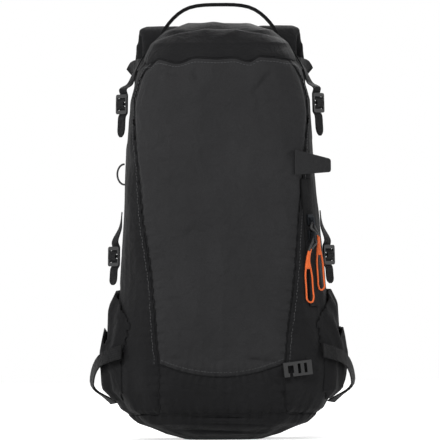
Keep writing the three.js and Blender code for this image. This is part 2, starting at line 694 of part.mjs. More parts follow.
const hollowCase = cut(join(rearShell, ductBox(0, fanTop - 10)), trough, ductBox(CASE_WALL, fanTop - 16));
add("unit_case", join(hollowCase, bulkhead), CASE_PLASTIC);

const INTAKE_R = 30;
const bars = Array.from({ length: 3 }, (_, i) => {
  const bar = box(-INTAKE_R - 1, INTAKE_R + 1, CASE_FRONT - GAP - COVER_T, CASE_FRONT - GAP, -1.3, 1.3);
  return bar.rotateY((i * Math.PI) / 3).translate(0, 0, FAN_Z);
});
const KNOB = { x: 34, z: CASE_LOW + 92, r: 11 };
const DOOR = { x0: -44, x1: 44, z0: CASE_LOW + 8, z1: CASE_LOW + 44 };
const coverFace = CASE_FRONT - GAP - COVER_T;
const coverPlate = plate(hullOutline(0), coverFace, CASE_FRONT - GAP);
const coverOpen = cut(
  coverPlate,
  drum(0, FAN_Z, INTAKE_R, CASE_FRONT - 20, CASE_FRONT + 5, 32),
  drum(KNOB.x, KNOB.z, 4.6, CASE_FRONT - 20, CASE_FRONT + 5, 16),
  box(DOOR.x0, DOOR.x1, CASE_FRONT - 20, CASE_FRONT + 5, DOOR.z0, DOOR.z1),
);
add("unit_cover", join(coverOpen, ...bars), CASE_PLASTIC);
const doorRim = 0.5;
const doorPlate = rectangle(DOOR.x0 + doorRim, DOOR.x1 - doorRim, DOOR.z0 + doorRim, DOOR.z1 - doorRim);
add("battery_door", plate(doorPlate, coverFace, CASE_FRONT - GAP), CASE_PLASTIC);
const knobFront = coverFace - GAP;
add(
  "power_switch",
  join(
    drum(KNOB.x, KNOB.z, KNOB.r, knobFront - 6, knobFront, 24),
    drum(KNOB.x, KNOB.z, 4.1, knobFront - 1, CASE_FRONT + 4, 16),
    box(KNOB.x - 1.6, KNOB.x + 1.6, knobFront - 9, knobFront - 4, KNOB.z - 9.5, KNOB.z + 9.5),
  ),
  ORANGE_PLASTIC,
);

const FLOOR = CASE_BACK - CASE_WALL - GAP;
const MOTOR_R = 17;
const MOTOR_L = 16;
const motorCan = drum(0, FAN_Z, MOTOR_R, FLOOR - MOTOR_L, FLOOR, 24);
const motorShaft = drum(0, FAN_Z, SHAFT_R, CASE_FRONT + 7, FLOOR - MOTOR_L + 1, 16);
add("fan_motor", join(motorCan, motorShaft), MOTOR_STEEL);
const IMPELLER_R = FAN_R - 12;
const BLADES = 9;
const plateBack = FLOOR - MOTOR_L - 1;
const blade = (i) => {
  const vane = box(15, IMPELLER_R - 2, CASE_FRONT + 6, plateBack - 1, -1, 1);
  return vane.rotateY(0.35).rotateY((i / BLADES) * Math.PI * 2).translate(0, 0, FAN_Z);
};
const impellerSolid = join(
  drum(0, FAN_Z, IMPELLER_R, plateBack - 2, plateBack, 36),
  drum(0, FAN_Z, 10, CASE_FRONT + 9, plateBack - 1, 20),
  ...Array.from({ length: BLADES }, (_, i) => blade(i)),
);
const shaftBore = drum(0, FAN_Z, SHAFT_R + 0.5, CASE_FRONT, CASE_BACK, 16);
add("fan_impeller", cut(impellerSolid, shaftBore), FAN_PLASTIC);

// The board carries its capacitors, soldered to its front face. A can lies on its side, along X.
function can(x, z, radius, length, y) {
  return new THREE.CylinderGeometry(radius, radius, length, 20).rotateZ(Math.PI / 2).translate(x, y, z);
}
const boardZ = [CASE_LOW + 54, fanFoot - 6];
const CAP_R = 12;
const capsAt = boardZ[0] + 14;
const capY = FLOOR - 2.6 - CAP_R;
const board = plate(rectangle(-50, 50, ...boardZ), FLOOR - 3, FLOOR - 1.2);
const capacitors = [0, 1].map((i) => can(-8, capsAt + i * (2 * CAP_R + 1), CAP_R, 72, capY));
add("control_board", join(board, ...capacitors), BOARD);
const BATTERY_R = 7;
const batteryZ = (DOOR.z0 + DOOR.z1) / 2;
const cells = [-1, 1].map((side) => can(0, batteryZ + side * (BATTERY_R + 0.5), BATTERY_R, 50, FLOOR - 9));
const cellTray = box(-28, 28, FLOOR - 5, FLOOR - 0.4, batteryZ - 14, batteryZ + 14);
add("battery_pack", join(...cells, cellTray), CELL_WRAP);

// Folded airbag under the hood, over the duct.
const BALLOON_LOW = DUCT_TOP + CASE_WALL + 2;
function balloon() {
  const tall = BAG_HEIGHT - WALL - 8 - BALLOON_LOW;
  const rings = [0, 0.12, 0.5, 0.85, 1].map((u) => {
    const z = BALLOON_LOW + tall * 0.78 * u;
    const s = sectionAt(z + 12);
    const pinch = u === 0 || u === 1 ? 0.9 : 1;
    const half = (s.half - WALL - 14) * pinch;
    const front = s.front + WALL + 10;
    const back = Math.min(s.back - WALL - 12, SHEET_Y - 8);
    const deep = ((back - front) / 2) * pinch;
    return superRing(20, 0.7, half, deep, (front + back) / 2, z);
  });
  return loft(rings);
}
add("airbag_balloon", cut(balloon(), cord(cablePath, CABLE_R + 3, 60)), BALLOON_CLOTH);

// ---- sternum strap: two halves that hang on the shoulder straps' outer faces, unclipped ----
const STERNUM_U = 0.8;
const STERNUM_L = 38;
const STERNUM_W = 18;
const sternumRoot = strapFrame(STERNUM_U);
const sternumLift = strapThick(STERNUM_U) / 2 + WEB_T / 2;
const sternumAt = (drop, lift) => offset(sternumRoot, STERNUM_W, sternumLift + lift, drop);
const sternumPath = [sternumAt(0, 1), sternumAt(12, 1.6), sternumAt(26, 5), sternumAt(STERNUM_L, 7)];
const sternumWebbing = strip(sternumPath, sternumRoot.across, STERNUM_W, WEB_T, 8);
addPair("sternum_webbing", sternumWebbing, WEBBING);
const clipFrame = { ...sternumRoot, at: sternumAt(STERNUM_L + GAP, 7) };
const clip = join(
  box(-12, 12, -3.5, 3.5, 0, 14),
  box(-2, 2, -1.8, 1.8, 12, 30),
  box(-10.5, -7.5, -2.2, 2.2, 12, 32),
  box(7.5, 10.5, -2.2, 2.2, 12, 32),
);
add("sternum_clip", placed(clip, clipFrame), ACETAL);
const socketHollow = box(-11.3, 11.3, -3, 3, 6, 40);
const earHoles = [-1, 1].map((side) => box(side * 15.4 - 4.6, side * 15.4 + 4.6, -6, 6, 13, 23));
const sternumSocket = cut(box(-13.5, 13.5, -5.5, 5.5, 0, 30), socketHollow, ...earHoles);
add("sternum_socket", mirrored(placed(sternumSocket, clipFrame)), ACETAL);

// ---- hip wings ----
const WING_Z = 106;
const wingPath = [
  point(100, STRAP_BACK + 2, WING_Z),
  point(128, STRAP_BACK + 14, WING_Z),
  point(148, STRAP_BACK + 44, WING_Z - 2),
  point(150, STRAP_BACK + 84, WING_Z - 5),
  point(138, STRAP_BACK + 118, WING_Z - 8),
];
const wingCurve = new THREE.CatmullRomCurve3(wingPath, false, "centripetal");
const UP = point(0, 0, 1);
const wingHeight = (u) => lerp(WING_H, WING_TIP_H, u * u * 0.4 + u * 0.6);
const wingThick = (u) => lerp(WING_T, WING_T * 0.7, u);
const wing = padStrip(wingPath, () => UP, wingHeight, wingThick, 12);
addPair("hip_wing", wing, PAD_MESH);
const wingFrame = (u) => frame(wingCurve.getPoint(u), wingCurve.getTangent(u), UP);
// out of the wing's frame points away from the wearer for the right wing
const outerFace = (u, lift) => {
  const f = wingFrame(u);
  const side = f.out.x > 0 || f.out.y < 0 ? 1 : -1;
  return offset(f, 0, side * (wingThick(u) / 2 + lift), 0);
};
const tip = wingFrame(1);
const tipOut = tip.out.x > 0 ? 1 : -1;
const beltLift = WEB_T / 2 + GAP;
const beltPath = [
  ...[0.42, 0.52, 0.6, 0.68, 0.76, 0.84, 0.92].map((u) => outerFace(u, beltLift)),
  outerFace(1, beltLift),
  offset(tip, 0, tipOut * 5, 20),
];
addPair("hip_webbing", strip(beltPath, UP, BELT_WEB, WEB_T, 22), WEBBING);
const beltEnd = frame(offset(tip, 0, tipOut * 5, 20 + GAP), tip.along, UP);
const hipHook = cut(
  join(box(-17, 17, -2, 2, 0, 12), box(-15, 15, -2, 2, 10, 34), box(-15, 15, -2, 5, 30, 34)),
  box(-12, 12, -9, 9, 3, 7),
);
add("hip_clip_right", placed(hipHook, beltEnd), ALLOY);
const hipLoop = cut(box(-20, 20, -2.5, 2.5, 0, 34), box(-16, 16, -9, 9, 11, 29), box(-15, 15, -9, 9, 3, 7));
add("hip_buckle_left", mirrored(placed(hipLoop, beltEnd)), ALLOY);

// ---- side straps with ladder locks and round-ended tails ----
// A lock hangs clear of the flank, turned part of the way towards the front.
const LOCK_ACROSS = point(0.62, 0.785, 0);
function hangingLock(z, y, stand) {
  return frame(point(sideX(z, y) + stand, y, z), point(0.02, -0.03, -1), LOCK_ACROSS);
}
const turned = (u) => point(0, 1, 0).lerp(LOCK_ACROSS, THREE.MathUtils.smoothstep(u, 0, 0.35)).normalize();
const onFlank = ([z, y, stand]) => point(sideX(z, y, stand), y, z);
function sideStrap(f, from, tail) {
  const lower = [17, 17 + tail * 0.5, 17 + tail];
  const hanging = lower.map((down, i) => offset(f, 0, i - 0.5, down));
  const path = [...from.map(onFlank), offset(f, 0, -1.5, -20), ...woven(f), ...hanging];
  return strip(path, turned, roundedEnd(SIDE_WEB, 0.09), WEB_T, 44);
}
const upperLock = hangingLock(at(0.806), 4, 11.5);
const upperFrom = [[at(0.925), 40, 4], [at(0.885), 28, 5.5], [at(0.855), 16, 7.5]];
addPair("upper_side_lock", ladderLock(upperLock, SIDE_WEB), ACETAL);
addPair("upper_side_strap", sideStrap(upperLock, upperFrom, 28), WEBBING);
const lowerSideLock = hangingLock(at(0.44), 4, 10);
const lowerFrom = [[at(0.545), 15, 3], [at(0.51), 12, 4]];
addPair("lower_side_lock", ladderLock(lowerSideLock, SIDE_WEB), ACETAL);
addPair("lower_side_strap", sideStrap(lowerSideLock, lowerFrom, 22), WEBBING);

// ---- ski loops at the foot of each side ----
const loopStand = POCKET_STAND + 3;
const skiPath = [
  point(sideX(118, -88) + POCKET_STAND * 0.56, -92, 121),
  point(sideX(106, -58) + loopStand + 1, -62, 109),
  point(sideX(90, -34) + loopStand + 8, -36, 88),
  point(sideX(74, -14) + loopStand + 7, -14, 70),
  point(sideX(60, 0) + 12, 0, 58),
  point(sideX(50, 6) + 6, 6, 49),
];
const skiAcross = blendOf(point(0.1, 0.55, 0.8), point(0.2, 0.9, -0.3));
addPair("ski_loop", strip(skiPath, skiAcross, 20, 2, 18), WEBBING);

// ---- axe tab: a stiff doubled cloth tab hinged on the right front ----
const TAB_Z = at(0.662);
const TAB_X = 101;
const TAB_L = 56;
const TAB_T = 3;
const TAB_ROOT = 17; // half width at the hinge
const TAB_TIP = 9; // half width at the tip
const TAB_DROP = 4.6; // how far the tip's middle lies below the root's
const TAB_CORNER = 3; // radius of the tip's corners
const tabSlope = cornerSlope(TAB_X, TAB_Z);
const tabRoot = point(TAB_X, frontY(TAB_Z, TAB_X, 4.5), TAB_Z);
const tabFrame = frame(tabRoot, point(Math.cos(tabSlope), Math.sin(tabSlope), 0), UP);
const tabRings = [0, TAB_L - TAB_CORNER, TAB_L - TAB_CORNER * 0.3, TAB_L].map((along, i) => {
  const u = along / TAB_L;
  const half = lerp(TAB_ROOT, TAB_TIP, u) - [0, 0, 0.3, 1][i] * TAB_CORNER;
  const corners = [[-half, -TAB_T / 2], [half, -TAB_T / 2], [half, TAB_T / 2], [-half, TAB_T / 2]];
  return corners.map(([across, out]) => point(across - TAB_DROP * u, out, along));
});
const tab = placed(loft(tabRings), tabFrame);
add("axe_tab", tab, SHELL_CLOTH);

// ---- elastic loop on the left flank ----
const LOOP_Z = at(0.637);
const loopX = -sideX(LOOP_Z, -20) - 0.6;
const loopPath = Array.from({ length: 13 }, (_, i) => {
  const a = lerp(-Math.PI / 2, Math.PI / 2, i / 12);
  return point(loopX - CORD_R - Math.cos(a) * (LOOP_R - 4), -20, LOOP_Z + Math.sin(a) * LOOP_R);
});
add("elastic_loop", cord(loopPath, 1.3, 24), ELASTIC);

// ---- ski hook: a short strap with an open hook, low on the right front ----
const HOOK_Z = 98;
const hookX = SEAM_FOOT + 3;
const hookY = (x) => frontY(HOOK_Z + 2, x, 3.2);
const hookAlong = point(26, hookY(hookX + 26) - hookY(hookX), 3).normalize();
const hookFrame = frame(point(hookX, hookY(hookX) - 1.2, HOOK_Z - 3), hookAlong, UP);
const strapSlots = [14, 23].map((from) => box(-6.5, 6.5, -9, 9, from, from + 4));
const hookEye = box(-5, 5, -9, 9, 0, 8);
const hookMouth = box(-11, -3, -9, 9, 2, 6);
const hookShape = cut(box(-10, 10, -2, 2, -6, 34), ...strapSlots, hookEye, hookMouth);
add("ski_hook", placed(hookShape, hookFrame), ACETAL);

// ---- zip sliders and their cord pulls ----
const UPPER_SLIDER = at(0.524);
const LOWER_SLIDER = at(0.488);
const EYE_OUT = 6.3; // the eye's hole above the zip
const EYE_DOWN = 5.6; // the eye's hole below the slider's middle
const EYE_HALF = 1.6;
const EYE_SIDE = EYE_HALF + CORD_R + 0.9; // where a pull's legs pass the eye
const sliderFrame = (z) => zipFrame(z, ZIP_STAND + GAP);
function slider(z) {
  const body = box(-5, 5, 0, 3.4, -7, 7);
  const neck = box(-EYE_HALF, EYE_HALF, 3, 9.7, -3, 8.9);
  const hole = new THREE.CylinderGeometry(CORD_R + 1.2, CORD_R + 1.2, 30, 16).rotateZ(Math.PI / 2);
  return placed(cut(join(body, neck), hole.translate(0, EYE_OUT, EYE_DOWN)), sliderFrame(z));
}
add("zip_slider_upper", slider(UPPER_SLIDER), ZINC);
add("zip_slider_lower", slider(LOWER_SLIDER), ZINC);

// A pull is one loop of cord through the slider's eye. It hangs down over the corner of the bag to a point a
// given drop below and shift to the side, with its legs together for the first part and open at the foot.
const PULL_STAND = 5;
const PULL_TURN = 0.55; // how far an open loop turns with the corner, from facing the front to lying on it
function pull(z, drop, shift) {
  const f = sliderFrame(z);
  const eye = offset(f, 0, EYE_OUT, EYE_DOWN);
  const lie = (down, side, spread) => {
    const height = eye.z - down;
    const x = ZIP_FLANK * sectionAt(height).half + shift * (1 - Math.exp(-Math.max(0, down - 7) / 7));
    const slope = cornerSlope(x, height);
    const loose = THREE.MathUtils.smoothstep(down, 14, 34);
    const stand = lerp(EYE_OUT + 0.8 + GAP, PULL_STAND, loose);
    const lifted = point(x + stand * Math.sin(slope), frontY(height, x) - stand * Math.cos(slope), height);
    const turn = slope * lerp(1, PULL_TURN, loose);
    return lifted.add(point(Math.cos(turn), Math.sin(turn), 0).multiplyScalar(side * spread));
  };
  const leg = (down, side) => {
    const together = CORD_R + 0.15;
    const opening = CORD_BEND - together;
    const open = together + opening * THREE.MathUtils.smoothstep(down / drop, 0.3, 0.6);
    const clearOfEye = lerp(EYE_SIDE, together, THREE.MathUtils.clamp((down - 6) / 9, 0, 1));
    return lie(down, side, Math.max(open, clearOfEye));
  };
  const start = (side) => offset(f, side * 0.3, EYE_OUT, EYE_DOWN);
  const edge = (side) => offset(f, side * EYE_HALF, EYE_OUT, EYE_DOWN);
  const turn = (side) => offset(f, side * EYE_SIDE, EYE_OUT, EYE_DOWN + 1.6);
  const shares = [0.08, 0.14, 0.2, 0.3, 0.4, 0.5, 0.62, 0.75, 0.88];
  const depths = shares.map((share) => share * (drop - CORD_BEND));
  const side = (s) => [start(s), edge(s), turn(s), ...depths.map((d) => leg(d, s))];
  const foot = (angle) => lie(drop - CORD_BEND * (1 - Math.sin(angle)), Math.cos(angle), CORD_BEND);
  const bend = [0, 0.25, 0.5, 0.75, 1].map((share) => foot(share * Math.PI));
  return [...side(1), ...bend, ...side(-1).reverse()];
}
add("zip_pull_upper", cord(pull(UPPER_SLIDER, 90, 7), CORD_R, 78), ORANGE_CORD);
add("zip_pull_lower", cord(pull(LOWER_SLIDER, 86, -8), CORD_R, 78), ORANGE_CORD);

export default pack;
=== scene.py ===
# Avalanche airbag backpack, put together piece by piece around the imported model.
import json
import math
import bmesh
import bpy
from mathutils import Matrix, Vector, noise
from mathutils.bvhtree import BVHTree
from mathutils.kdtree import KDTree

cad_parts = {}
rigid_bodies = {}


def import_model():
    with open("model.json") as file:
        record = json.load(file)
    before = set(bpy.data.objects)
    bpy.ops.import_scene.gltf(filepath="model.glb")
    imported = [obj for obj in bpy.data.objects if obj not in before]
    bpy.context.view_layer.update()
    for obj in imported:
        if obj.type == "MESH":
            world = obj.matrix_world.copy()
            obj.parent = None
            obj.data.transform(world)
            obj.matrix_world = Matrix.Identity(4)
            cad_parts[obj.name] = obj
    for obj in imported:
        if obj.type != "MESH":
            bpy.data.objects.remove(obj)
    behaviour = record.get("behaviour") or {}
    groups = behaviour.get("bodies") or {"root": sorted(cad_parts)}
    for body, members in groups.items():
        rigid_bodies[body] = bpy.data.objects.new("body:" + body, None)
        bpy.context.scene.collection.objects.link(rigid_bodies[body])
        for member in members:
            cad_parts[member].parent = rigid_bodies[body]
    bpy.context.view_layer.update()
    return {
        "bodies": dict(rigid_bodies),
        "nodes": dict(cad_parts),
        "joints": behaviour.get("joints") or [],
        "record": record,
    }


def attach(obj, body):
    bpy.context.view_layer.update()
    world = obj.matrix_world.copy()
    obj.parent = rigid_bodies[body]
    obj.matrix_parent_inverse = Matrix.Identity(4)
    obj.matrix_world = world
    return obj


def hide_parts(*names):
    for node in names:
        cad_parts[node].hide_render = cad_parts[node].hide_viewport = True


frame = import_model()
scene = bpy.context.scene

# ---- Studio ----
# A long lens looks straight at the front panel. The floor and the world are white to the camera, and large soft
# lamps in front and at both sides light the cloth evenly, with the floor keeping the pack's shadow.
VIEW_WIDTH = 0.598
CAMERA_DISTANCE = 10.0
CAMERA_HEIGHT = 0.2975
camera_data = bpy.data.cameras.new("camera")
camera_data.lens = camera_data.sensor_width * CAMERA_DISTANCE / VIEW_WIDTH
camera = bpy.data.objects.new("camera", camera_data)
scene.collection.objects.link(camera)
camera.location = (-0.0015, -CAMERA_DISTANCE - 0.02, CAMERA_HEIGHT)
camera.rotation_euler = (math.radians(90), math.radians(0.5), 0)
scene.camera = camera
scene.view_settings.view_transform = "Standard"


def linear(colour):
    """A six-digit sRGB hex colour as linear RGBA."""
    channels = [int(colour[i : i + 2], 16) / 255 for i in (0, 2, 4)]
    return [c / 12.92 if c <= 0.04045 else ((c + 0.055) / 1.055) ** 2.4 for c in channels] + [1.0]


def add_node(tree, kind, inputs=None, **settings):
    """Adds a node with its settings. inputs holds values or sockets by the input's name or number."""
    node = tree.nodes.new(kind)
    for key, value in settings.items():
        setattr(node, key, value)
    for key, value in (inputs or {}).items():
        if isinstance(value, bpy.types.NodeSocket):
            tree.links.new(value, node.inputs[key])
        else:
            node.inputs[key].default_value = value
    return node


def seen_directly(tree):
    """One where the camera sees a surface straight or in a mirror or glass, and zero for light that bounces."""
    path = add_node(tree, "ShaderNodeLightPath")
    glossy = add_node(tree, "ShaderNodeMath", {0: path.outputs[0], 1: path.outputs["Is Glossy Ray"]}, operation="MAXIMUM")
    through = path.outputs["Is Transmission Ray"]
    return add_node(tree, "ShaderNodeMath", {0: glossy.outputs[0], 1: through}, operation="MAXIMUM").outputs[0]


world = bpy.data.worlds.new("studio")
scene.world = world
world.use_nodes = True
world.node_tree.nodes.clear()
WORLD_LIGHT = 0.16
strength = add_node(
    world.node_tree, "ShaderNodeMapRange", {"Value": seen_directly(world.node_tree), "To Min": WORLD_LIGHT, "To Max": 1.0}
)
sky = add_node(world.node_tree, "ShaderNodeBackground", {"Color": (1, 1, 1, 1), "Strength": strength.outputs[0]})
add_node(world.node_tree, "ShaderNodeOutputWorld", {"Surface": sky.outputs[0]})

for lamp_name, place, size, watts in [
    ("key_softbox", (-1.0, -2.3, 2.2), 0.9, 62),
    ("right_softbox", (2.5, -1.0, 0.9), 0.9, 17),
    ("left_softbox", (-2.5, -1.0, 0.9), 0.9, 17),
    ("rear_softbox", (0.5, 2.4, 2.2), 1.2, 56),
]:
    lamp = bpy.data.lights.new(lamp_name, "AREA")
    lamp.size = size
    lamp.energy = watts
    lamp_object = bpy.data.objects.new(lamp_name, lamp)
    scene.collection.objects.link(lamp_object)
    lamp_object.location = place
    lamp_object.rotation_euler = (Vector((0, 0, 0.3)) - Vector(place)).to_track_quat("-Z", "Y").to_euler()

FLOOR_SIZE = 7.0
floor_mesh = bmesh.new()
bmesh.ops.create_grid(floor_mesh, x_segments=1, y_segments=1, size=FLOOR_SIZE / 2)
floor = bpy.data.objects.new("floor", bpy.data.meshes.new("floor"))
floor_mesh.to_mesh(floor.data)
floor_mesh.free()
scene.collection.objects.link(floor)
FLOOR_GLOW = 0.62  # brings the floor up to white for the camera, and lets the shadow on it show
floor_paint = bpy.data.materials.new("painted_floor")
floor_paint.use_nodes = True
paint_tree = floor_paint.node_tree
paint_shader = paint_tree.nodes["Principled BSDF"]
paint_shader.inputs["Base Color"].default_value = linear("f4f4f4")
paint_shader.inputs["Roughness"].default_value = 0.9
glow = add_node(paint_tree, "ShaderNodeMapRange", {"Value": seen_directly(paint_tree), "To Min": 0.0, "To Max": FLOOR_GLOW})
lit = add_node(paint_tree, "ShaderNodeEmission", {"Color": (1, 1, 1, 1), "Strength": glow.outputs[0]})
both = add_node(paint_tree, "ShaderNodeAddShader", {0: paint_shader.outputs[0], 1: lit.outputs[0]})
paint_tree.links.new(both.outputs[0], paint_tree.nodes["Material Output"].inputs["Surface"])
floor.data.materials.append(floor_paint)

# ---- Zip pulls ----
# Each slider of the main zip has a pull of thin braided orange cord, one loop through the slider's eye. A shrunk
# rubber sleeve holds the two legs together under the eye, so that only the lower part of the loop stands open.
PULL_DIAMETER = 0.0024
UPPER_LENGTH = 0.2014
LOWER_LENGTH = 0.1923
THREAD = 0.0007


def braided_cord(name, colour):
    """Braided polyester: a satin sheath whose strands cross at a slant, with a little sheen along its edges."""
    material = bpy.data.materials.new(name)
    material.use_nodes = True
    tree = material.node_tree
    shader = tree.nodes["Principled BSDF"]
    place = add_node(tree, "ShaderNodeTexCoord").outputs["Object"]
    pitch = 2 * math.pi / THREAD
    waves = []
    for direction in ((1.0, 1.0, 1.6), (-1.0, -1.0, 1.6)):
        along = add_node(tree, "ShaderNodeVectorMath", {0: place, 1: direction}, operation="DOT_PRODUCT")
        turned = add_node(tree, "ShaderNodeMath", {0: along.outputs["Value"], 1: pitch * 0.4}, operation="MULTIPLY")
        waves.append(add_node(tree, "ShaderNodeMath", {0: turned.outputs[0]}, operation="SINE").outputs[0])
    crossed = add_node(tree, "ShaderNodeMath", {0: waves[0], 1: waves[1]}, operation="MAXIMUM").outputs[0]
    shade = add_node(tree, "ShaderNodeMapRange", {"Value": crossed, "From Min": -1.0, "To Min": 0.0, "To Max": 1.0})
    dark = [c * 0.62 for c in linear(colour)[:3]] + [1.0]
    paint = add_node(
        tree, "ShaderNodeMix", {0: shade.outputs[0], 6: dark, 7: linear(colour)}, data_type="RGBA"
    )
    bump = add_node(tree, "ShaderNodeBump", {"Strength": 0.6, "Distance": 0.0002, "Height": crossed})
    tree.links.new(paint.outputs[2], shader.inputs["Base Color"])
    tree.links.new(bump.outputs[0], shader.inputs["Normal"])
    shader.inputs["Roughness"].default_value = 0.55
    shader.inputs["Sheen Weight"].default_value = 0.08
    return material


def cord_curve(name, points, radius, material):
    """A round cord along points in the row frame, smooth between them."""
    data = bpy.data.curves.new(name, "CURVE")
    data.dimensions = "3D"
    data.bevel_depth = radius
    data.bevel_resolution = 4
    data.use_fill_caps = True
    data.resolution_u = 4
    spline = data.splines.new("BEZIER")
    spline.bezier_points.add(len(points) - 1)
    for knot, point in zip(spline.bezier_points, points):
        knot.co = point
        knot.handle_left_type = knot.handle_right_type = "AUTO"
    data.materials.append(material)
    obj = bpy.data.objects.new(name, data)
    scene.collection.objects.link(obj)
    return obj


orange_braid = braided_cord("braided_polyester_orange", "f26a1b")
def cord_rings(node):
    """The middle points of a CAD cord's rings, walked ring by ring from the rim of one end to the other."""
    tube = bmesh.new()
    tube.from_mesh(node.data)
    tube.transform(node.matrix_world)
    bmesh.ops.remove_doubles(tube, verts=tube.verts, dist=1e-6)
    rims = [edge for edge in tube.edges if edge.calc_face_angle(0.0) > math.radians(60)]
    ring = {rims[0].verts[0]}
    for _ in rims:
        ring |= {vertex for edge in rims for vertex in edge.verts if ring & set(edge.verts)}
    seen, middles = set(ring), []
    while ring:
        middles.append(sum((vertex.co for vertex in ring), Vector()) / len(ring))
        ring = {edge.other_vert(vertex) for vertex in ring for edge in vertex.link_edges} - seen
        seen |= ring
    tube.free()
    return middles


def along_route(route, low, high):
    """The points of a pull's two legs between two heights, as one list for each leg."""
    foot = min(range(len(route)), key=lambda i: route[i].z)
    return [[point for point in leg if low <= point.z <= high] for leg in (route[:foot], route[foot:])]


def pull_sleeve(name, route, low, high):
    """A shrunk sleeve round both legs of a pull, between two heights."""
    right, left = along_route(route, low, high)
    legs = list(zip(right, reversed(left)))
    thin = PULL_DIAMETER / 2 + SLEEVE_WALL
    sleeve = bmesh.new()
    ring = bmesh.ops.create_circle(sleeve, segments=SLEEVE_SIDES, radius=1.0)["verts"]
    edges = list(sleeve.edges)
    for number, (a, b) in enumerate(legs):
        if number:
            grown = bmesh.ops.extrude_edge_only(sleeve, edges=edges)["geom"]
            edges = [part for part in grown if isinstance(part, bmesh.types.BMEdge) and part.is_boundary]
            ring = {vertex for edge in edges for vertex in edge.verts}
            frame = place.inverted()
            unit = {vertex: frame @ vertex.co for vertex in ring}
        else:
            unit = {vertex: vertex.co.copy() for vertex in ring}
        after = legs[min(number + 1, len(legs) - 1)]
        before = legs[max(number - 1, 0)]
        down = ((after[0] + after[1]) - (before[0] + before[1])).normalized()
        across = a - b - down * (a - b).dot(down)
        out = down.cross(across.normalized()) * thin
        wide = across.normalized() * (across.length / 2 + thin)
        place = Matrix((wide, out, down)).transposed().to_4x4()
        place.translation = (a + b) / 2
        for vertex in ring:
            vertex.co = place @ unit[vertex]
    bmesh.ops.holes_fill(sleeve, edges=sleeve.edges, sides=0)
    bmesh.ops.recalc_face_normals(sleeve, faces=sleeve.faces)
    mesh = bpy.data.meshes.new(name)
    sleeve.to_mesh(mesh)
    sleeve.free()
    mesh.polygons.foreach_set("use_smooth", [True] * len(mesh.polygons))
    mesh.materials.append(orange_braid)
    obj = bpy.data.objects.new(name, mesh)
    scene.collection.objects.link(obj)
    return obj


SLEEVE_WALL = 0.0004
SLEEVE_SIDES = 16
SHRINK_WALL = 0.0004
RINGS_PER_KNOT = 3
shrink_tube = braided_cord("shrunk_tube_black", "151516")
for level, length, sleeve_low, sleeve_high in [
    ("upper", UPPER_LENGTH, 0.2475, 0.2760),
    ("lower", LOWER_LENGTH, 0.2295, 0.2565),
]:
    body = "pull_" + level
    rings = cord_rings(frame["nodes"]["zip_pull_" + level])
    route = rings[:-1:RINGS_PER_KNOT] + [rings[-1]]
    pull = cord_curve("orange_zip_pull_" + level, route, PULL_DIAMETER / 2, orange_braid)
    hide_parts("zip_pull_" + level)
    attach(pull, body)
    sleeve = pull_sleeve("pull_sleeve_" + level, rings, sleeve_low, sleeve_high)
    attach(sleeve, body)
    for side, leg in zip(("outer", "inner"), along_route(route, sleeve_high - 0.0025, 1.0)):
        tube = cord_curve("shrink_tube_" + level + "_" + side, leg, PULL_DIAMETER / 2 + SHRINK_WALL, shrink_tube)
        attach(tube, body)

# ---- Elastic loop ----
# A loop of sheathed elastic on the left flank keeps an ice axe's shaft. Both ends are sewn into the side seam.
ELASTIC_DIAMETER = 0.0026
black_sheath = braided_cord("sheathed_elastic_black", "17171a")
loop_route = cord_rings(frame["nodes"]["elastic_loop"])[::2]
elastic = cord_curve("elastic_axe_loop", loop_route, ELASTIC_DIAMETER / 2, black_sheath)
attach(elastic, "bag")
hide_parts("elastic_loop")

# ---- Bag cloth ----
# The bag is cut from coated nylon in panels that are sewn edge to edge: a lighter front panel and hood over dark
# sides and base, with stretch cloth for the pockets and the rear. Full inside, it sags in broad shallow folds.
FRONT_GREY = "2b2b2c"
HOOD_GREY = "19191a"
SIDE_GREY = "1a1a1b"
STRETCH_GREY = "171718"
WEAVE_PITCH = 0.0011  # real threads are 0.3 mm apart, drawn coarser so that they show


